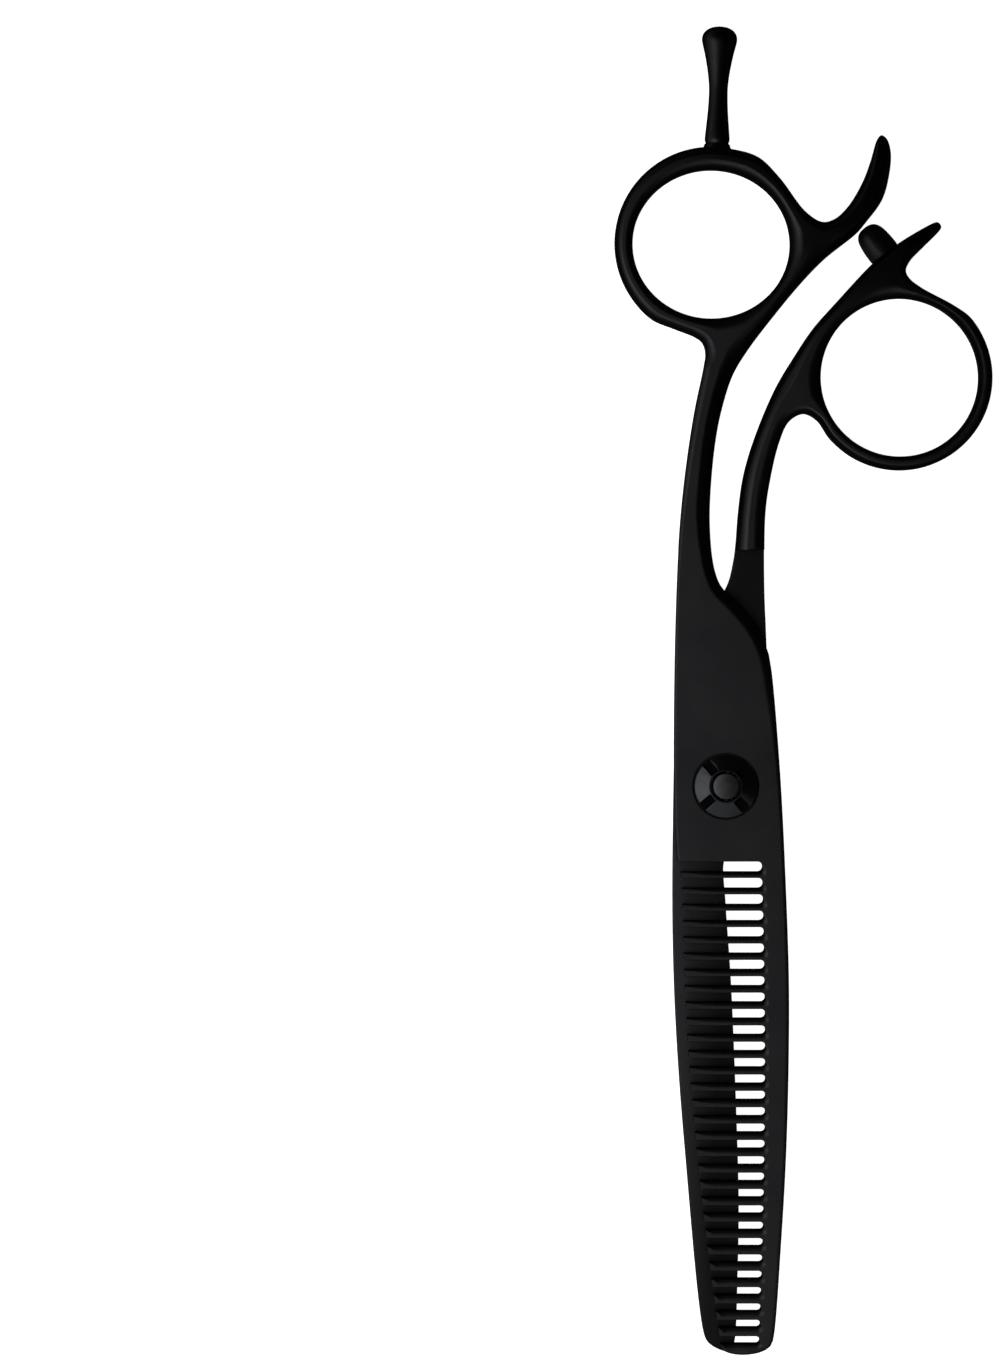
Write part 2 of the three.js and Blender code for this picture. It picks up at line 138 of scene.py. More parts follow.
def smooth_run(knots, step):
    """Evenly stepped points on a centripetal Catmull-Rom curve through the knots, without the last."""
    p = np.array(knots, float)
    p = np.vstack([2 * p[0] - p[1], p, 2 * p[-1] - p[-2]])
    gaps = np.sqrt(np.linalg.norm(np.diff(p, axis=0), axis=1))
    dense = []
    for i in range(1, len(p) - 2):
        before, here, after = gaps[i - 1], gaps[i], gaps[i + 1]
        chord = (p[i + 1] - p[i]) / here
        leave = (p[i] - p[i - 1]) / before - (p[i + 1] - p[i - 1]) / (before + here) + chord
        reach = chord - (p[i + 2] - p[i]) / (here + after) + (p[i + 2] - p[i + 1]) / after
        t = np.linspace(0, 1, 40, endpoint=False)[:, None]
        dense.append(
            (2 * t**3 - 3 * t**2 + 1) * p[i]
            + (t**3 - 2 * t**2 + t) * leave * here
            + (3 * t**2 - 2 * t**3) * p[i + 1]
            + (t**3 - t**2) * reach * here
        )
    dense = np.vstack([*dense, p[-2:-1]])
    along = np.concatenate([[0], np.cumsum(np.linalg.norm(np.diff(dense, axis=0), axis=1))])
    count = max(2, round(along[-1] / step))
    stops = np.linspace(0, along[-1], count, endpoint=False)
    return np.column_stack([np.interp(stops, along, dense[:, k]) for k in (0, 1)])


def oval(hole, count=120):
    """A finger hole's outline, clockwise."""
    (x, y), (rx, ry) = hole
    angles = -np.linspace(0, 2 * math.pi, count, endpoint=False)
    return np.column_stack([x + rx * np.cos(angles), y + ry * np.sin(angles)])


def comb_teeth():
    """The comb's toothed edge from heel to tip: along each gap's upper side, round its end and back."""
    knots = [
        (-6.1, -9.4), (-5.7, -10.8), (-5.15, -25.2), (-4.4, -37.5), (-3.27, -49.6), (-1.8, -62),
        (-0.65, -70.2), (-0.55, -71),
    ]
    tips = smooth_run(knots, TIP_STEP)
    c = TOOTH_CORNER
    points = []
    for i in range(GAP_COUNT):
        share = i / (GAP_COUNT - 1)
        y = GAP_Y[0] + (GAP_Y[1] - GAP_Y[0]) * share
        radius = (GAP_WIDTH[0] + (GAP_WIDTH[1] - GAP_WIDTH[0]) * share) / 2
        root = GAP_ROOT[0] - GAP_ROOT[1] * (y - GAP_ROOT[2]) ** 2 - radius
        for side in (1, -1):
            edge = y + side * radius
            tip = np.interp(-edge, -tips[:, 1], tips[:, 0])
            corner = [(tip, edge + side * c), (tip + 0.3 * c, edge + side * 0.3 * c), (tip + c, edge)]
            straight = [(x, edge) for x in np.linspace(tip + c, root, 9)[1:]]
            side_points = corner + straight
            points += side_points if side == 1 else side_points[::-1]
            if side == 1:
                turn = np.radians(np.linspace(90, -90, 11)[1:-1])
                points += [(root + radius * math.cos(a), y + radius * math.sin(a)) for a in turn]
    return np.array(points)


def comb_outline():
    """The comb half seen from above, counter-clockwise, with its gaps."""
    lap_end = [(5.5, 16.6), (4.7, 18.8), (3.4, 20.9), (1.6, 23), (-0.2, 24.8)]
    handle = [
        (-0.2, 24.8), (-0.8, 25.7), (-1.5, 28), (-1.95, 33), (-1.8, 38), (-1.2, 43.7), (-0.4, 47.7), (1, 52),
        (3, 55.3), (6.2, 59.5), (9.6, 63.6), (12.6, 66.7), (16.7, 70),
        (17.9, 71.4), (19.9, 74.2), (20.8, 77.4), (21, 80.2), (20.5, 81.9), (19.8, 82.4), (19.3, 81.9),
        (18.4, 79), (17.4, 76.4), (15.6, 73.4), (13.9, 71.8), (12.3, 71.4), (10.2, 72.7), (6.9, 77),
        (4.2, 79.6),
        *arc(FINGER_RING, 78, 232),
        (-6.3, 57.8), (-3.8, 56.8), (-2.9, 56.1), (-2.5, 54.8), (-2.7, 53.1),
        (-3.8, 47.8), (-4.8, 41.5), (-5.7, 33.2), (-6.25, 21.6), (-6.5, 4.7), (-6.4, -4), (-6.1, -9.4),
    ]
    spine = [
        (-0.65, -70.7), (-0.5, -71.2), (0.4, -71.66), (1.8, -71.9), (3.5, -71.8), (4.9, -71.4),
        (5.8, -70.7), (6.1, -69.8), (7.1, -57), (7.7, -46), (8, -34), (8, -24), (7.5, -10), (6.9, 1.5),
        (5.9, 14), (5.5, 16.6),
    ]
    lap_run = smooth_run(lap_end, LAP_STEP)
    handle_run = smooth_run(handle, HANDLE_STEP)
    spine_run = smooth_run(spine, SPINE_STEP)
    return np.vstack([lap_run, handle_run, comb_teeth(), spine_run])


def blade_outline():
    """The blade half seen from above, counter-clockwise."""
    knots = [
        (13.3, 60.4), (11.2, 58), (8.9, 54.6), (6.3, 50.2), (3.6, 43.7), (2.3, 39.2), (1.7, 35),
        (1.1, 28.6), (0.1, 25), (-1.7, 22.9), (-3.4, 20.8), (-4.9, 18.2), (-5.7, 15.4), (-6.2, 10),
        (-6.55, -5), (-6.6, -17.9), (-6.2, -30.3), (-5, -46.8), (-2.6, -69.6),
        (-2.1, -70.5), (-1.1, -71.2), (0.2, -71.6), (0.95, -71.2), (1.27, -70),
        (1.6, -62), (1.75, -53), (1.4, -40), (0.76, -24.7), (0.1, -15), (-0.13, -9.7),
        (0.5, -8.3), (2.6, -6.9), (4.9, -5.9), (6, -4.4), (6.2, -2.5),
        (6.05, 5), (5.5, 13), (5.2, 19.9), (5, 25.5), (5.1, 34.5), (5.7, 38.7), (6.9, 43.6),
        (8.1, 46.1), (9.9, 47.1), (11.6, 46.3),
        *arc(THUMB_RING, 221.5, 400, 12),
        (29, 60.8), (24.8, 63.1), (23.3, 64.3), (22.9, 65.2), (23.4, 66.4), (25.2, 68.3),
        (27, 70.1), (27.4, 70.7), (27.2, 71.2), (26.8, 71.4), (26, 71.1),
        (22.03, 68.76), (20.3, 67.4), (18.57, 66.04), (13.3, 60.4),
    ]
    return smooth_run(knots, HANDLE_STEP)


def with_crossings(loop, *heights):
    """The loop from its lowest point on, with a point added wherever it crosses one of the heights."""
    loop = np.roll(loop, -int(np.argmin(loop[:, 1])), axis=0)
    made = []
    for a, b in zip(loop, np.roll(loop, -1, axis=0)):
        made.append(a)
        for height in heights:
            share = (height - a[1]) / (b[1] - a[1]) if b[1] != a[1] else -1
            if 0 < share < 1:
                made.append(a + share * (b - a))
    return np.array(made)


# ---------------------------------------------------------------- rims


def inward_steps(loop):
    """For each point of a loop, the move that takes both its edges inwards by one."""
    before = loop - np.roll(loop, 1, axis=0)
    after = np.roll(loop, -1, axis=0) - loop
    before /= np.linalg.norm(before, axis=1)[:, None]
    after /= np.linalg.norm(after, axis=1)[:, None]
    along = before + after
    length = np.linalg.norm(along, axis=1)
    along /= length[:, None]
    stretch = np.minimum(1.5, 2 / np.maximum(length, 0.1))
    return np.column_stack([-along[:, 1], along[:, 0]]) * stretch[:, None]


def room_inside(loop, inward, rim):
    """Radius of the largest circle inside the material that touches the loop at each of its points."""
    normal = inward / np.linalg.norm(inward, axis=1)[:, None]
    away = rim[None] - loop[:, None]
    depth = np.einsum("ijk,ik->ij", away, normal)
    size = np.einsum("ijk,ijk->ij", away, away)
    reach = np.where(depth > 1e-3, size / (2 * np.maximum(depth, 1e-3)), np.inf)
    return reach.min(axis=1)


def eased(values, reach=15):
    """Values along a closed loop, averaged with their neighbours."""
    kernel = np.ones(reach) / reach
    padded = np.concatenate([values[-reach:], values, values[:reach]])
    return np.convolve(padded, kernel, "same")[reach:-reach]


def steady(values, reach=15):
    """Values along a closed loop, made smooth without raising any of them."""
    beside = reach // 2
    padded = np.concatenate([values[-beside:], values, values[:beside]])
    lowest = np.lib.stride_tricks.sliding_window_view(padded, reach).min(axis=1)
    return eased(lowest, reach)


def edge_profile(width, height, soft):
    """Rows (inset, depth) of an edge from wall to face: a facet with rounded corners, then a flat margin."""
    length = np.hypot(width, height)
    reach = soft * length / 2
    across, down = width / length, height / length
    wall = [(0 * width, height + reach), (0 * width, height), (across * reach, height - down * reach)]
    face = [(width - across * reach, down * reach), (width, 0 * width), (width + reach, 0 * width)]
    rows = []
    for corner in (wall, face):
        for t in np.linspace(0, 1, ROUND_ROWS):
            weights = ((1 - t) ** 2, 2 * t * (1 - t), t * t)
            rows.append(tuple(sum(w * p[k] for w, p in zip(weights, corner)) for k in (0, 1)))
    rows.append((width + reach + FLAT_MARGIN, 0 * width))
    return rows


class Shell:
    """A mesh in the making: points (x, y, depth below the outer face) and faces."""

    def __init__(self):
        self.points, self.faces = [], []

    def add(self, xy, depth):
        first = len(self.points)
        depth = np.broadcast_to(depth, len(xy))
        self.points += [(x, y, d) for (x, y), d in zip(xy, depth)]
        return np.arange(first, first + len(xy))

    def strip(self, a, b, closed=True):
        """Faces between two rows of points."""
        last = len(a) if closed else len(a) - 1
        for i in range(last):
            j = (i + 1) % len(a)
            corners = list(dict.fromkeys([int(a[i]), int(a[j]), int(b[j]), int(b[i])]))
            if len(corners) > 2:
                self.faces.append(corners)

    def cap(self, *loops):
        """Triangles over a flat face inside its first loop and outside the others."""
        rings = [[Vector((*self.points[i][:2], 0)) for i in loop] for loop in loops]
        flat = [int(i) for loop in loops for i in loop]
        for triangle in tessellate_polygon(rings):
            self.faces.append([flat[i] for i in triangle])

    def edge(self, xy, inward, room, style, face, side):
        """Rows of an edge from wall to face; the face lies at depth `face`, the wall on its `side`."""
        width, height, soft, share = style
        rows = edge_profile(width, height, soft)
        scale = np.minimum(1, share * room / np.maximum(rows[-1][0], 1e-6))
        made = []
        for inset, drop in rows:
            moved = xy + inward * (inset * scale)[:, None]
            made.append(self.add(moved, face(moved[:, 1]) + side * drop))
        return made

    def object(self, name, upside_down):
        """The finished object: depth runs down from the top, or up from the underside."""
        points = np.array(self.points)
        points[:, 2] = THICKNESS / 2 + (points[:, 2] - THICKNESS / 2) * horn_thickness(*points[:, :2].T)
        points[:, 2] = points[:, 2] if upside_down else THICKNESS - points[:, 2]
        mesh = bpy.data.meshes.new(name)
        mesh.from_pydata((points * MM).tolist(), [], self.faces)
        work = bmesh.new()
        work.from_mesh(mesh)
        bmesh.ops.remove_doubles(work, verts=work.verts, dist=2e-6)
        bmesh.ops.dissolve_degenerate(work, edges=work.edges, dist=1e-7)
        bmesh.ops.recalc_face_normals(work, faces=work.faces)
        work.to_mesh(mesh)
        work.free()
        made = bpy.data.objects.new(name, mesh)
        bpy.context.scene.collection.objects.link(made)
        return made


def taper(y):
    """How far the outer face has dropped at a place along the blade."""
    return TIP_THINNING * np.clip((TAPER_START_Y - y) / (TAPER_START_Y - TIP_Y), 0, None)


def ramp(value, low, high, at_low, at_high):
    """A smooth change from one number to another as the value goes from low to high."""
    t = np.clip((value - low) / (high - low), 0, 1)
    return at_low + (at_high - at_low) * (t * t * (3 - 2 * t))


def horn_thickness(x, y):
    """Thickness as a share of the handle's: less towards the tips of the long and the small horn."""
    long_horn = np.where(x > 11, ramp(y, 72.5, 82.6, 1, HORN_TIP_SHARE), 1)
    small_horn = np.where(y > 64, ramp(x, 23, 27.5, 1, HORN_TIP_SHARE), 1)
    return np.minimum(long_horn, small_horn)


def flat_at(depth):
    """A level face, as its depth at each y."""
    return lambda y: np.full(len(y), depth)


def half(name, outline, ring_hole, pivot, front_style, back_style, ring_style, upside_down):
    """
    One half of the shears. Depth 0 is its outer face, which tapers along the blade; the mating face is
    MATE_DEPTH below it, and past the step the handle goes on to the full thickness.
    """
    shell = Shell()
    loop = with_crossings(outline, STEP_Y, TAPER_START_Y)
    count = len(loop)
    inward = inward_steps(loop)
    hole_inward = inward_steps(ring_hole)
    rim = np.vstack([loop, ring_hole])
    room = room_inside(loop, inward, rim)
    room = np.where(loop[:, 1] > STEP_Y, steady(room), room)
    hole_room = room_inside(ring_hole, hole_inward, rim)
    step_right, step_left = np.flatnonzero(np.isclose(loop[:, 1], STEP_Y))
    taper_right, taper_left = np.flatnonzero(np.isclose(loop[:, 1], TAPER_START_Y))

    front = shell.edge(loop, inward, room, front_style(loop, inward), taper, 1)
    for a, b in zip(front, front[1:]):
        shell.strip(a, b)
    handle = np.arange(step_right, step_left + 1)
    lap = np.concatenate([np.arange(step_left, count), np.arange(0, step_right + 1)])

    # handle wall, the step across it and its far face
    level = np.full(count, -1)
    level[handle] = shell.add(loop[handle], MATE_DEPTH)
    shell.strip(front[0][handle], level[handle], closed=False)
    share = np.linspace(0, 1, CHORD_ROWS)[1:-1, None]
    chord = loop[step_left] + share * (loop[step_right] - loop[step_left])
    chord_level = shell.add(chord, MATE_DEPTH)
    far_loop = np.vstack([loop[handle], chord])
    far_inward = np.vstack([inward[handle], (1 - share) * inward[step_left] + share * inward[step_right]])
    far_inward[[0, *range(len(handle) - 1, len(far_loop))], 1] += STEP_LEAN
    far_room = np.concatenate([room[handle], np.full(len(chord), room[step_left])])
    far_room[0] = room[step_left]
    far = shell.edge(far_loop, far_inward, far_room, back_style(far_loop), flat_at(THICKNESS), -1)
    shell.strip(np.concatenate([level[handle], chord_level]), far[0])
    for a, b in zip(far, far[1:]):
        shell.strip(a, b)

    # mating face, with a fine edge that dies out at the step
    fade = np.clip((STEP_Y - loop[lap, 1]) / MATE_EDGE_FADE, 0.02, 1) * MATE_EDGE
    fine = (fade, fade, 0.5, 0.8)
    mate = shell.edge(loop[lap], inward[lap], room[lap], fine, flat_at(MATE_DEPTH), -1)
    for row in mate:
        row[0], row[-1] = level[step_left], level[step_right]
    shell.strip(front[0][lap], mate[0], closed=False)
    for a, b in zip(mate, mate[1:]):
        shell.strip(a, b, closed=False)

    # ring hole
    style = ring_style(ring_hole)
    hole_front = shell.edge(ring_hole, hole_inward, hole_room, style, flat_at(0), 1)
    hole_far = shell.edge(ring_hole, hole_inward, hole_room, style, flat_at(THICKNESS), -1)
    for a, b in zip(hole_front, hole_front[1:]):
        shell.strip(a, b)
    for a, b in zip(hole_far, hole_far[1:]):
        shell.strip(a, b)
    shell.strip(hole_front[0], hole_far[0])

    # pivot hole
    rows = [shell.add(xy, depth) for xy, depth in pivot]
    for a, b in zip(rows, rows[1:]):
        shell.strip(a, b)

    blade_part = np.concatenate([np.arange(taper_left, count), np.arange(0, taper_right + 1)])
    shell.cap(front[-1][blade_part])
    shell.cap(front[-1][taper_right:taper_left + 1], hole_front[-1], rows[0])
    shell.cap(np.concatenate([mate[-1], chord_level[::-1]]), rows[-1])
    shell.cap(far[-1], hole_far[-1])
    return shell.object(name, upside_down)


def circle(radius, count=96):
    """A round outline, clockwise."""
    angles = -np.linspace(0, 2 * math.pi, count, endpoint=False)
    return np.column_stack([radius * np.cos(angles), radius * np.sin(angles)])


def square(half_width, count=96):
    """A square outline with as many points as a circle, clockwise."""
    unit = circle(1, count)
    return unit * (half_width / np.abs(unit).max(axis=1))[:, None]


# ---------------------------------------------------------------- the two halves


def in_teeth(loop):
    """Points of the comb's gaps and tooth tips."""
    x, y = loop.T
    return (y < TEETH_Y[0]) & (y > TEETH_Y[1]) & (x < TEETH_X)


def comb_front(loop, inward):
    """Front rim: crisp bevels on the plate and spine, a wide facet inside the shank, round rings and horn."""
    x, y = loop.T
    bevel = ramp(y, 4, 18, 0.32, 1.25)
    styles = {
        "width": bevel,
        "height": 0.55 * bevel,
        "soft": ramp(y, 6, 15, 0.9, 0.3),
        "share": np.full(len(x), ROOM_SHARE),
    }
    left = (inward[:, 0] > 0.2) & (x < 0) & (y < 58)
    facet = (inward[:, 0] < -0.3) & (inward[:, 1] > -0.25) & (y > 24.5)
    ring = ~left & ~facet & (y > 54)
    ring |= (y > 71) | (left & (y > 55))
    facet_width = ramp(y, 25, 40, 1.25, 1.8) + ramp(y, 50, 63, 0, 1.3)
    rules = [  # where, width, height, soft, share
        (left, ramp(y, 25, 48, 0.2, 0.5), ramp(y, 25, 48, 0.13, 0.4), ramp(y, 30, 50, 0.4, 0.8), ROOM_SHARE),
        (facet, facet_width, ramp(y, 25, 60, 1.1, 1.9), ramp(y, 50, 64, 0.2, 0.9), 1.1),
        (ring, 1.1, 1.5, 0.92, ROOM_SHARE),
    ]
    for where, *values in rules:
        for key, value in zip(styles, values):
            styles[key] = np.where(where, value, styles[key])
    width, height, soft, share = (eased(values) for values in styles.values())
    teeth = in_teeth(loop)
    upper_side = ramp(-inward[:, 1], 0, 0.9, 0, 1)
    slope = 0.06 + upper_side * ramp(x, -6, 1, 0.06, 0.56)
    width = np.where(teeth, slope, width)
    height = np.where(teeth, ramp(upper_side, 0, 1, 1.0, 0.7) * slope, height)
    share = np.where(teeth, ROOM_SHARE + 0.75 * upper_side, share)
    return width, height, soft, share


def blade_front(loop, inward):
    """Underside of the blade half: a wide convex grind along the cutting edge."""
    x, y = loop.T
    edge = (inward[:, 0] < -0.3) & (y < -9.5)
    width = np.where(edge, 3.2, ramp(y, -10, 30, 0.7, 1.0))
    height = np.where(edge, MATE_DEPTH - 0.35 - taper(y), ramp(y, -10, 30, 0.6, 1.2))
    soft = ramp(y, 20, 40, 0.25, 0.9)
    return eased(width), eased(height), soft, np.full(len(x), ROOM_SHARE)


def handle_back(loop):
    """Far face of the comb half's handle: round all over."""
    full = np.ones(len(loop))
    return 1.0 * full, 1.4 * full, 0.9 * full, ROOM_SHARE * full


def blade_back(loop):
    """Upper face of the blade half's handle: round."""
    y = loop[:, 1]
    full = np.ones(len(loop))
    return 1.2 * full, ramp(y, 30, 55, 1.1, 1.6), ramp(y, 30, 45, 0.7, 0.92), ROOM_SHARE * full


def ring_edge(loop):
    """Both edges of a ring hole: round."""
    full = np.ones(len(loop))
    return 0.95 * full, 1.3 * full, 0.85 * full, ROOM_SHARE * full


def comb_half():
    """The comb half, bored for the dial, the bush and the ride washer."""
    pivot = [
        (circle(WELL_RADIUS + 0.03), 0),
        (circle(WELL_RADIUS), 0.03),
        (circle(WELL_RADIUS), WELL_DEPTH),
        (circle(BUSH_HOLE_RADIUS), WELL_DEPTH),
        (circle(BUSH_HOLE_RADIUS), WASHER_SEAT_DEPTH),
        (circle(WASHER_SEAT_RADIUS), WASHER_SEAT_DEPTH),
        (circle(WASHER_SEAT_RADIUS), MATE_DEPTH),
    ]
    styles = (comb_front, handle_back, ring_edge)
    return half("comb_half_body", comb_outline(), oval(FINGER_HOLE), pivot, *styles, upside_down=False)


def blade_half():
    """The blade half, with the bolt head's seat and the square hole for the bolt's shoulder."""
    pivot = [
        (circle(HEAD_SEAT_RADIUS + 0.1), 0),
        (circle(HEAD_SEAT_RADIUS), 0.1),
        (circle(HEAD_SEAT_RADIUS), HEAD_SEAT_DEPTH),
        (square(SQUARE_HOLE_HALF), HEAD_SEAT_DEPTH),
        (square(SQUARE_HOLE_HALF), MATE_DEPTH),
    ]
    styles = (blade_front, blade_back, ring_edge)
    return half("blade_half_body", blade_outline(), oval(THUMB_HOLE), pivot, *styles, upside_down=True)


def set_mating_face(made, mating_shade):
    """Gives the flat inner face of a half its second material, which paints shade on it."""
    made.data.materials.append(mating_shade)
    for polygon in made.data.polygons:
        from_middle = abs(polygon.center.z / MM - THICKNESS / 2)
        if from_middle < THICKNESS / 2 - MATE_DEPTH + 0.01 and abs(polygon.normal.z) > 0.99:
            polygon.material_index = 1


# ---------------------------------------------------------------- the smaller pieces


def boolean(target, cutter, operation):
    """Joins or cuts a solid and puts the result in the target's mesh."""
    modifier = target.modifiers.new(operation, "BOOLEAN")
    modifier.operation = operation
    modifier.solver = "EXACT"
    modifier.object = cutter
    bpy.context.view_layer.update()
    result = bpy.data.meshes.new_from_object(target.evaluated_get(bpy.context.evaluated_depsgraph_get()))
    target.modifiers.clear()
    target.data = result
    bpy.data.objects.remove(cutter)


def turned(name, profile, segments=96):
    """A turned solid on the Z axis from (radius, height) points that close on the axis or on themselves."""
    mesh = bpy.data.meshes.new(name)
    work = bmesh.new()
    rings = []
    for radius, height in profile:
        angles = np.linspace(0, 2 * math.pi, segments, endpoint=False)
        if radius < 1e-6:
            angles = angles[:1]
        points = [(radius * math.cos(a) * MM, radius * math.sin(a) * MM, height * MM) for a in angles]
        rings.append([work.verts.new(point) for point in points])
    closed = len(rings[0]) > 1
    pairs = zip(rings, rings[1:] + rings[:1]) if closed else zip(rings, rings[1:])
    for a, b in pairs:
        for i in range(segments):
            j = (i + 1) % segments
            corners = list(dict.fromkeys([a[i % len(a)], a[j % len(a)], b[j % len(b)], b[i % len(b)]]))
            if len(corners) > 2:
                work.faces.new(corners)
    bmesh.ops.recalc_face_normals(work, faces=work.faces)
    work.to_mesh(mesh)
    work.free()
    made = bpy.data.objects.new(name, mesh)
    bpy.context.scene.collection.objects.link(made)
    return made


def place(piece, turn, move):
    """Turns a piece's mesh by Euler angles in degrees, then moves it, in millimetres."""
    rotation = Euler([math.radians(a) for a in turn], "XYZ").to_matrix().to_4x4()
    piece.data.transform(Matrix.Translation(Vector(move) * MM) @ rotation)


def crisp(piece):
    """Smooth shading that breaks at real edges, with flat faces kept flat."""
    mesh = piece.data
    for polygon in mesh.polygons:
        polygon.use_smooth = True
    mesh.set_sharp_from_angle(angle=math.radians(SHARP_ANGLE))
    weighted = piece.modifiers.new("normals", "WEIGHTED_NORMAL")
    weighted.keep_sharp = True
    weighted.weight = 60


def at_rest(piece):
    """Turns a piece from the Z axis onto the finger rest's axis, with z = 0 on its seat."""
    place(piece, (-90, 0, REST_LEAN), (*REST_SEAT, THICKNESS / 2))
    return piece


def finger_rest():
    """The turned rest on the finger ring, with a groove where it seats on its boss."""
    trunk = [
        (1.46, 0.14), (1.56, 0.3), (1.57, 0.8), (1.5, 1.6), (1.38, 2.9), (1.27, 4.3), (1.2, 5.9), (1.2, 7.1),
        (1.35, 8.7), (1.56, 10), (1.84, 11.4), (2.14, 12.6), (2.23, 13.05), (2.22, 13.45), (2.08, 13.9),
        (1.8, 14.27), (1.46, 14.52), (1.0, 14.72), (0.5, 14.83), (0.05, 14.85),
    ]
    profile = [(0, -2.8), (1.1, -2.8), (1.2, -2.7), (1.2, 0.05), (1.46, 0.05)]
    profile += [tuple(point) for point in smooth_run(trunk, REST_STEP)] + [(0, 14.85)]
    return at_rest(turned("finger_rest_body", profile))


def rest_boss():
    """The boss on the ring's rim, which flares into it."""
    profile = [
        (0, -1.9), (2.2, -1.9), (2.15, -0.95), (1.9, -0.7), (1.74, -0.5), (1.67, -0.3), (1.64, -0.16),
        (1.5, 0), (0, 0),
    ]
    return at_rest(turned("boss", profile, 64))


def stud_bore():
    """The hole in the ring's rim that the rest's stud goes into."""
    return at_rest(turned("bore", [(0, -2.9), (1.25, -2.9), (1.25, 1), (0, 1)], 48))


def block(size, centre, turn=0):
    """A cutting block, its size and centre in millimetres, turned about Z by degrees."""
    bpy.ops.mesh.primitive_cube_add(size=1)
    made = bpy.context.object
    made.data.transform(Matrix.Diagonal((*(Vector(size) * MM), 1)))
    place(made, (0, 0, 0), centre)
    place(made, (0, 0, turn), (0, 0, 0))
    return made


def tension_dial():
    """The slotted nut: a shallow cone with a raised lip round the bolt."""
    profile = [
        (1.815, 5.13), (1.84, 5.1), (3.82, 5.1), (DIAL_RADIUS, 5.23), (DIAL_RADIUS, 5.93), (3.94, 5.97),
        (3.9, 6.0), (3.84, 6.025), (2.2, 6.33), (2.14, 6.36), (2.08, 6.42), (2.03, 6.45), (1.97, 6.45),
        (1.94, 6.43), (1.815, 6.2),
    ]
    made = turned("tension_dial_body", profile, 128)
    for turn in SLOT_TURNS:
        boolean(made, block((3, SLOT_WIDTH, 2), (SLOT_INNER + 1.5, 0, SLOT_FLOOR + 1), turn), "DIFFERENCE")
    bevel = made.modifiers.new("slot_edges", "BEVEL")
    bevel.width = SLOT_EDGE * MM
    bevel.segments = 2
    bevel.limit_method = "ANGLE"
    bevel.angle_limit = math.radians(50)
    return made


def give_slots_painted_shade(dial):
    """Gives the slots' floors and walls the dial's second material, a painted shade."""
    for polygon in dial.data.polygons:
        is_wall = abs(polygon.normal.z) < 0.1
        for turn in SLOT_TURNS:
            out, across, height = Matrix.Rotation(math.radians(-turn), 3, "Z") @ polygon.center / MM
            in_length = SLOT_INNER - 0.02 < out < DIAL_RADIUS - 0.01
            in_width = abs(across) < SLOT_WIDTH / 2 + 0.02
            above_floor = height - SLOT_FLOOR
            if in_length and in_width and above_floor > -0.02 and (above_floor < 0.02 or is_wall):
                polygon.material_index = 1


def pivot_bolt():
    """The bolt: flat head below, square shoulder, round shank, and a low cone on its end."""
    profile = [
        (0, 0), (4.3, 0), (4.42, 0.03), (4.5, 0.12), (4.5, 0.82), (4.42, 0.9), (2.0, 0.9), (2.0, 4.1),
        (1.75, 4.1), (1.75, 6.08), (1.73, 6.12), (1.62, 6.31), (1.58, 6.34), (0, 6.52),
    ]
    made = turned("pivot_bolt_body", profile)
    boolean(made, block((SHOULDER_WIDTH, SHOULDER_WIDTH, 2), (0, 0, 1.5)), "UNION")
    low, high = KEY_HEIGHTS
    for side in (-1, 1):
        cutter = block((2, 6, high - low), (side * (KEY_HALF_WIDTH + 1), 0, (low + high) / 2))
        boolean(made, cutter, "DIFFERENCE")
    return made


def silencer_bumper():
    """The rubber stop: a thimble on its seat, open underneath round its pin."""
    outside = [
        (1.95, -SILENCER_SINK), (2.0, 0.02), (2.04, 0.2), (2.05, 0.45), (2.04, 0.9), (2.01, 1.5), (1.96, 2.0),
        (1.9, 2.45), (1.82, 2.85), (1.7, 3.22), (1.52, 3.55), (1.28, 3.82), (0.98, 4.02), (0.6, 4.15),
        (0.05, 4.2),
    ]
    skin = [tuple(point) for point in smooth_run(outside, SILENCER_STEP)]
    profile = [
        (0.8, 2.05), (0.8, -SILENCER_SINK), *skin, (0, 4.2), (0, 2.95), (1.3, 2.95), (1.3, 2.05),
    ]
    made = turned("silencer_bumper_body", profile)
    place(made, (-90, 0, SILENCER_TURN), (*SILENCER_BASE, THICKNESS / 2))
    return made


# ---------------------------------------------------------------- materials


def connect(tree, socket, value):
    """Links a socket to another one, or sets it to a plain value."""
    if isinstance(value, bpy.types.NodeSocket):
        tree.links.new(value, socket)
    else:
        socket.default_value = value


def node(tree, kind, **inputs):
    """A new node; its inputs are given by name, with _ for a space."""
    made = tree.nodes.new(kind)
    for name, value in inputs.items():
        connect(tree, made.inputs[name.replace("_", " ")], value)
    return made


def object_place(tree):
    """The place on the object, in metres in the part's frame."""
    return tree.nodes.new("ShaderNodeTexCoord").outputs["Object"]


def noise(tree, size, detail=2.0, rough=0.5):
    """Noise whose features are about `size` millimetres across."""
    settings = {"Scale": 1 / (size * MM), "Detail": detail, "Roughness": rough}
    return node(tree, "ShaderNodeTexNoise", Vector=object_place(tree), **settings).outputs["Fac"]


def ranged(tree, value, low, high, from_low=0.3, from_high=0.7):
    """A value moved from one range to another, and kept inside it."""
    ends = {"From_Min": from_low, "From_Max": from_high, "To_Min": low, "To_Max": high}
    return node(tree, "ShaderNodeMapRange", Value=value, **ends).outputs["Result"]


def mixed(tree, share, first, second):
    """A blend of two colours."""
    made = tree.nodes.new("ShaderNodeMix")
    made.data_type = "RGBA"
    for index, value in ((0, share), (6, first), (7, second)):
        connect(tree, made.inputs[index], value)
    return made.outputs[2]


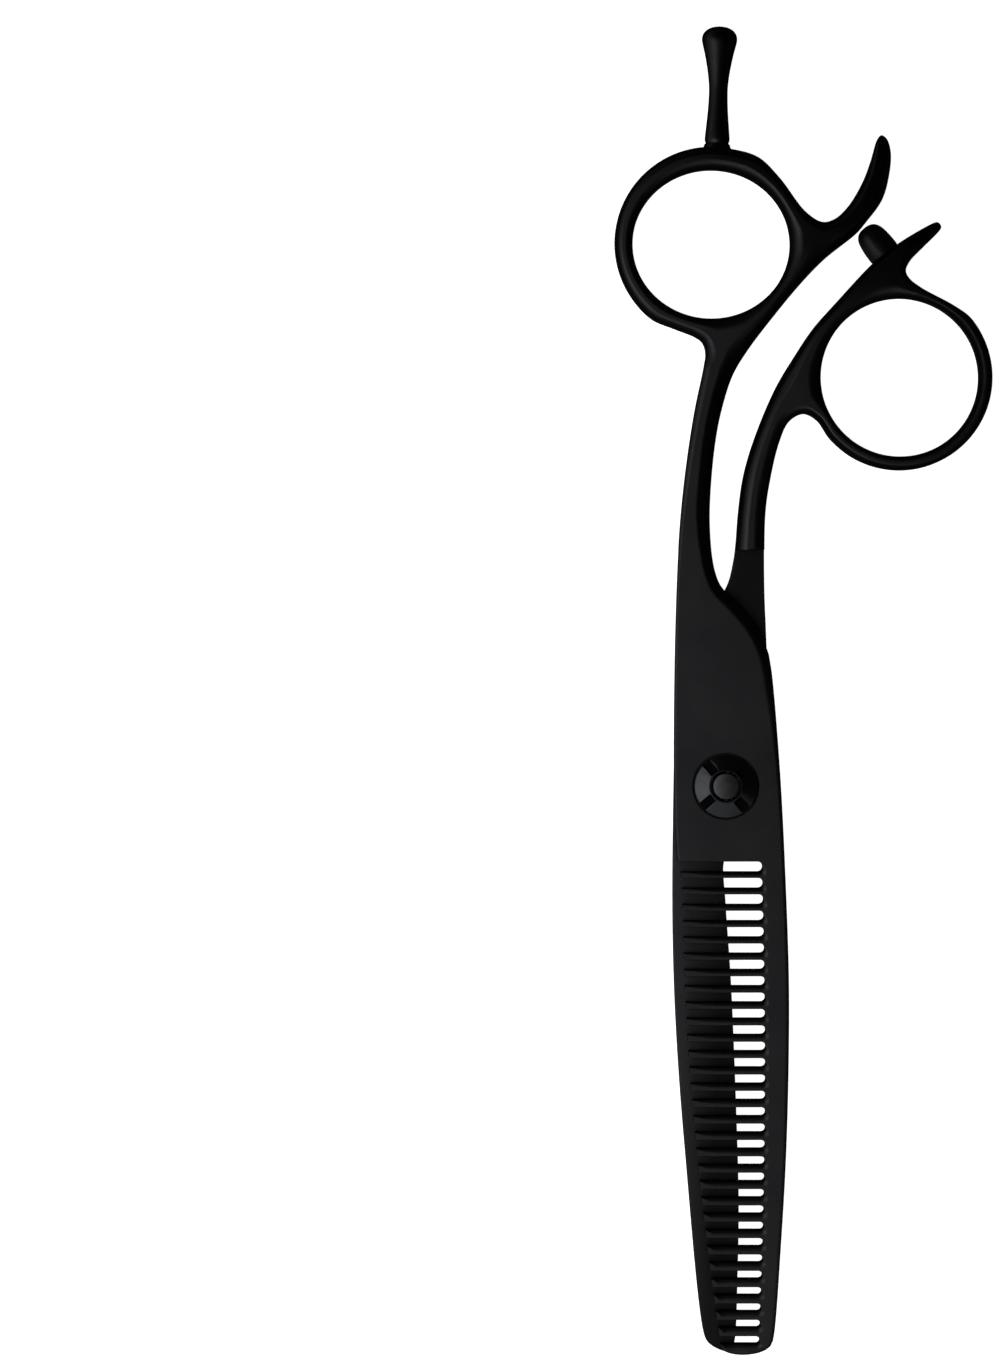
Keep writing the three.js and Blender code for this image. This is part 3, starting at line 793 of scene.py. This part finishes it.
def toward(tree, vector, direction):
    """How far a vector reaches in a direction."""
    made = tree.nodes.new("ShaderNodeVectorMath")
    made.operation = "DOT_PRODUCT"
    connect(tree, made.inputs[0], vector)
    made.inputs[1].default_value = Vector(direction).normalized()
    return made.outputs["Value"]


def material(name):
    """A new material with its node tree and its main shader."""
    made = bpy.data.materials.new(name)
    made.use_nodes = True
    return made, made.node_tree, made.node_tree.nodes["Principled BSDF"]


def uneven_colour(tree, size, detail, dark, light):
    """A colour that wanders between two, in patches about `size` millimetres across."""
    return mixed(tree, ranged(tree, noise(tree, size, detail), 0, 1), (*dark, 1), (*light, 1))


def uneven_gloss(tree, shader, size, detail, low, high, rough=0.5):
    """Roughness that wanders between two values."""
    connect(tree, shader.inputs["Roughness"], ranged(tree, noise(tree, size, detail, rough), low, high))


def grain(tree, shader, size, height):
    """Fine surface grain: its size and height in millimetres."""
    bump = node(tree, "ShaderNodeBump", Height=noise(tree, size, 3), Distance=height * MM)
    connect(tree, shader.inputs["Normal"], bump.outputs["Normal"])


def metal(shader, tint):
    """Makes a shader a metal with the given brightness at glancing angles."""
    shader.inputs["Metallic"].default_value = 1
    shader.inputs["Specular Tint"].default_value = (*tint, 1)


def coat_tone(tree, shade):
    """The coating's colour, a little uneven; `shade` scales it."""
    dark = shade * Vector((0.021, 0.0215, 0.023))
    light = shade * Vector((0.026, 0.0265, 0.028))
    return uneven_colour(tree, 6, 4, dark, light)


def satin_coat(tree, shader, tone):
    """The coating's gloss and grain over the given colour."""
    connect(tree, shader.inputs["Base Color"], tone)
    uneven_gloss(tree, shader, 9, 5, 0.36, 0.44, rough=0.6)
    metal(shader, (0.35, 0.35, 0.36))
    grain(tree, shader, 0.14, 0.0006)


def coated_steel():
    """Satin black coating on steel."""
    made, tree, shader = material("black_steel")
    satin_coat(tree, shader, coat_tone(tree, 1))
    return made


def mating_face_painted_shade():
    """Painted shade on the coating of the inner mating faces: darker overall, and painted lighter towards the
    cutting edge.
    """
    made, tree, shader = material("mating_face_painted_shade")
    from_edge = toward(tree, object_place(tree), (1, -0.04, 0))
    # painted light near the cutting edge, fading into painted shade further in
    share = ranged(tree, from_edge, 0, 1, -4 * MM, 0.5 * MM)
    satin_coat(tree, shader, mixed(tree, share, coat_tone(tree, 1.2), coat_tone(tree, 0.45)))
    return made


def dial_steel():
    """Turned steel under the same coating, glossier and with fine turning marks."""
    made, tree, shader = material("dial_steel")
    tone = uneven_colour(tree, 2, 4, (0.024, 0.025, 0.027), (0.03, 0.031, 0.033))
    connect(tree, shader.inputs["Base Color"], tone)
    uneven_gloss(tree, shader, 0.8, 4, 0.17, 0.23)
    metal(shader, (0.4, 0.4, 0.4))
    shader.inputs["Anisotropic"].default_value = 0.35
    around = tree.nodes.new("ShaderNodeTangent")
    around.direction_type = "RADIAL"
    around.axis = "Z"
    connect(tree, shader.inputs["Tangent"], around.outputs["Tangent"])
    rings = node(tree, "ShaderNodeTexWave", Vector=object_place(tree), Scale=1 / (0.9 * MM), Distortion=0.4)
    rings.wave_type = "RINGS"
    rings.rings_direction = "Z"
    bump = node(tree, "ShaderNodeBump", Height=rings.outputs["Fac"], Distance=0.0004 * MM)
    connect(tree, shader.inputs["Normal"], bump.outputs["Normal"])
    return made


def bolt_steel():
    """The bolt's end, faced off and more matte than the dial."""
    made, tree, shader = material("bolt_steel")
    tone = uneven_colour(tree, 1.5, 4, (0.04, 0.041, 0.042), (0.055, 0.056, 0.057))
    connect(tree, shader.inputs["Base Color"], tone)
    uneven_gloss(tree, shader, 0.6, 4, 0.3, 0.38)
    metal(shader, (0.4, 0.4, 0.4))
    grain(tree, shader, 0.1, 0.0005)
    return made


def slot_painted_shade():
    """Near-black matte painted shade on the floors and walls of the dial's slots."""
    made, tree, shader = material("dial_slot_painted_shade")
    tone = uneven_colour(tree, 0.4, 4, (0.0008, 0.0008, 0.0008), (0.002, 0.002, 0.002))
    connect(tree, shader.inputs["Base Color"], tone)
    shader.inputs["Roughness"].default_value = 0.6
    shader.inputs["Specular IOR Level"].default_value = 0.03
    grain(tree, shader, 0.1, 0.002)
    return made


def bare_steel():
    """Bright spring steel with fine scratches."""
    made, tree, shader = material("bare_steel")
    tone = uneven_colour(tree, 1.5, 5, (0.38, 0.38, 0.37), (0.5, 0.5, 0.5))
    connect(tree, shader.inputs["Base Color"], tone)
    uneven_gloss(tree, shader, 0.5, 5, 0.25, 0.4)
    metal(shader, (1, 1, 1))
    grain(tree, shader, 0.08, 0.0004)
    return made


def black_rubber():
    """Glossy black moulded rubber, slightly orange-peeled."""
    made, tree, shader = material("black_rubber")
    tone = uneven_colour(tree, 1, 3, (0.003, 0.003, 0.0035), (0.006, 0.006, 0.0065))
    connect(tree, shader.inputs["Base Color"], tone)
    uneven_gloss(tree, shader, 0.7, 4, 0.36, 0.46)
    shader.inputs["Specular IOR Level"].default_value = 0.15
    grain(tree, shader, 0.35, 0.002)
    return made


def white_nylon():
    """Slightly translucent off-white nylon."""
    made, tree, shader = material("white_nylon")
    tone = uneven_colour(tree, 1.5, 3, (0.62, 0.59, 0.52), (0.7, 0.68, 0.61))
    connect(tree, shader.inputs["Base Color"], tone)
    uneven_gloss(tree, shader, 0.6, 4, 0.45, 0.6)
    shader.inputs["Subsurface Weight"].default_value = 0.2
    shader.inputs["Subsurface Scale"].default_value = 0.5 * MM
    grain(tree, shader, 0.2, 0.002)
    return made


# ---------------------------------------------------------------- assembly

LOOKS = {
    "black_steel": coated_steel(),
    "dial_steel": dial_steel(),
    "bare_steel": bare_steel(),
    "black_rubber": black_rubber(),
    "white_nylon": white_nylon(),
}


def dress(piece, look):
    """Gives a piece one of the materials above in place of its own."""
    piece.data.materials.clear()
    piece.data.materials.append(LOOKS[look])


comb = comb_half()
boolean(comb, rest_boss(), "UNION")
boolean(comb, stud_bore(), "DIFFERENCE")
rest = finger_rest()
blade = blade_half()
bumper = silencer_bumper()
bolt = pivot_bolt()
dial = tension_dial()

PIECES = [
    (comb, "finger_side", "comb_half", "black_steel"),
    (rest, "finger_side", "finger_rest", "black_steel"),
    (blade, "thumb_side", "blade_half", "black_steel"),
    (bumper, "thumb_side", "silencer_bumper", "black_rubber"),
    (bolt, "thumb_side", "pivot_bolt", "dial_steel"),
    (dial, "dial", "tension_dial", "dial_steel"),
]
for piece, body, cad_node, look in PIECES:
    dress(piece, look)
    crisp(piece)
    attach(piece, body)
    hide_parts(cad_node)

KEPT = {
    "pivot_bush": "white_nylon",
    "ride_washer": "white_nylon",
    "spring_washer": "bare_steel",
    "click_washer": "bare_steel",
    "silencer_pin": "bare_steel",
}
for cad_node, look in KEPT.items():
    dress(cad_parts[cad_node], look)

bolt.data.materials[0] = bolt_steel()
# painted shade for the floors and walls of the dial's slots
dial.data.materials.append(slot_painted_shade())
give_slots_painted_shade(dial)
# painted shade for the mating faces of both halves
mating_shade = mating_face_painted_shade()
for steel_half in (comb, blade):
    set_mating_face(steel_half, mating_shade)


# ---------------------------------------------------------------- stage, light and camera


def floor():
    """A glowing white sheet, which stays white in the gaps of the comb and isn't mirrored in the steel."""
    bpy.ops.mesh.primitive_plane_add(size=FLOOR_SIZE * MM)
    made = bpy.context.object
    made.name = "floor"
    sheet, _, shader = material("floor_paper")
    shader.inputs["Base Color"].default_value = (0.9, 0.9, 0.9, 1)
    shader.inputs["Roughness"].default_value = 0.9
    shader.inputs["Specular IOR Level"].default_value = 0
    shader.inputs["Emission Color"].default_value = (1, 1, 1, 1)
    shader.inputs["Emission Strength"].default_value = 1
    made.data.materials.append(sheet)
    made.visible_glossy = False
    made.visible_diffuse = False


def backdrop():
    """A white dome round the scene that only the camera sees."""
    bpy.ops.mesh.primitive_uv_sphere_add(segments=48, ring_count=24, radius=BACKDROP_RADIUS * MM)
    made = bpy.context.object
    made.name = "backdrop"
    paper, tree, shader = material("backdrop_paper")
    tree.nodes.remove(shader)
    glow = node(tree, "ShaderNodeEmission", Strength=1.0)
    tree.links.new(glow.outputs[0], tree.nodes["Material Output"].inputs["Surface"])
    made.data.materials.append(paper)
    made.visible_glossy = False
    made.visible_diffuse = False
    made.visible_transmission = False
    made.visible_shadow = False


def black_card():
    """A black card over the rings and the horns, which darkens what they mirror."""
    bpy.ops.mesh.primitive_plane_add(size=1)
    made = bpy.context.object
    made.name = "black_card"
    made.data.transform(Matrix.Diagonal((CARD_SIZE[0] * MM, CARD_SIZE[1] * MM, 1, 1)))
    place(made, (0, 0, 0), (CARD_EDGE + CARD_SIZE[0] / 2, 0, CARD_HEIGHT))
    place(made, (0, 0, CARD_TURN), (0, 0, 0))
    card, _, shader = material("card_black")
    shader.inputs["Base Color"].default_value = (0, 0, 0, 1)
    shader.inputs["Roughness"].default_value = 1
    shader.inputs["Specular IOR Level"].default_value = 0
    made.data.materials.append(card)
    made.visible_camera = False


def camera():
    """A long lens straight above the shears."""
    data = bpy.data.cameras.new("camera")
    data.lens = LENS
    data.sensor_width = SENSOR
    distance = VIEW_HEIGHT * LENS / SENSOR
    made = bpy.data.objects.new("camera", data)
    made.location = (Vector(VIEW_CENTRE) + Vector((0, 0, distance))) * MM
    bpy.context.scene.collection.objects.link(made)
    bpy.context.scene.camera = made


def softbox(name, left, right, near, far, height, brightness):
    """A level panel of light over the given stretch of X and Y, in millimetres, facing down."""
    data = bpy.data.lights.new(name, "AREA")
    data.shape = "RECTANGLE"
    data.size = (right - left) * MM
    data.size_y = (far - near) * MM
    data.energy = brightness * math.pi * data.size * data.size_y
    made = bpy.data.objects.new(name, data)
    made.location = Vector(((left + right) / 2, (near + far) / 2, height)) * MM
    made.visible_camera = False
    bpy.context.scene.collection.objects.link(made)


def math_node(tree, operation, *values):
    """One step of arithmetic on sockets and plain numbers."""
    made = tree.nodes.new("ShaderNodeMath")
    made.operation = operation
    for socket, value in zip(made.inputs, values):
        connect(tree, socket, value)
    return made.outputs[0]


def surroundings():
    """Dim studio walls, brightest low down to the left and in front, and dark under the horizon."""
    world = bpy.data.worlds.new("studio")
    bpy.context.scene.world = world
    world.use_nodes = True
    tree = world.node_tree
    direction = tree.nodes.new("ShaderNodeTexCoord").outputs["Generated"]
    height = node(tree, "ShaderNodeSeparateXYZ", Vector=direction).outputs["Z"]
    lobe = ranged(tree, toward(tree, direction, (-0.8, -0.42, 0.42)), 0, 1, 0.3, 1)
    side = ranged(tree, toward(tree, direction, (-0.75, -0.65, 0)), 0.25, 1, -0.6, 0.3)
    low = ranged(tree, height, 1, 0, 0.35, 0.6)
    glow = math_node(tree, "MULTIPLY_ADD", lobe, 0.45, 0.04)
    glow = math_node(tree, "MULTIPLY_ADD", math_node(tree, "MULTIPLY", side, low), 0.35, glow)
    above = ranged(tree, height, 0.25, 1, -0.1, 0.12)
    tree.links.new(math_node(tree, "MULTIPLY", glow, above), tree.nodes["Background"].inputs["Color"])
    tree.nodes["Background"].inputs["Strength"].default_value = 1


floor()
backdrop()
black_card()
camera()
surroundings()
softbox("left_softbox", -260, -25, -80, 75, 200, 2.1)
softbox("front_softbox", -110, 200, -300, -80, 200, 0.6)
bpy.context.scene.view_settings.view_transform = "Standard"
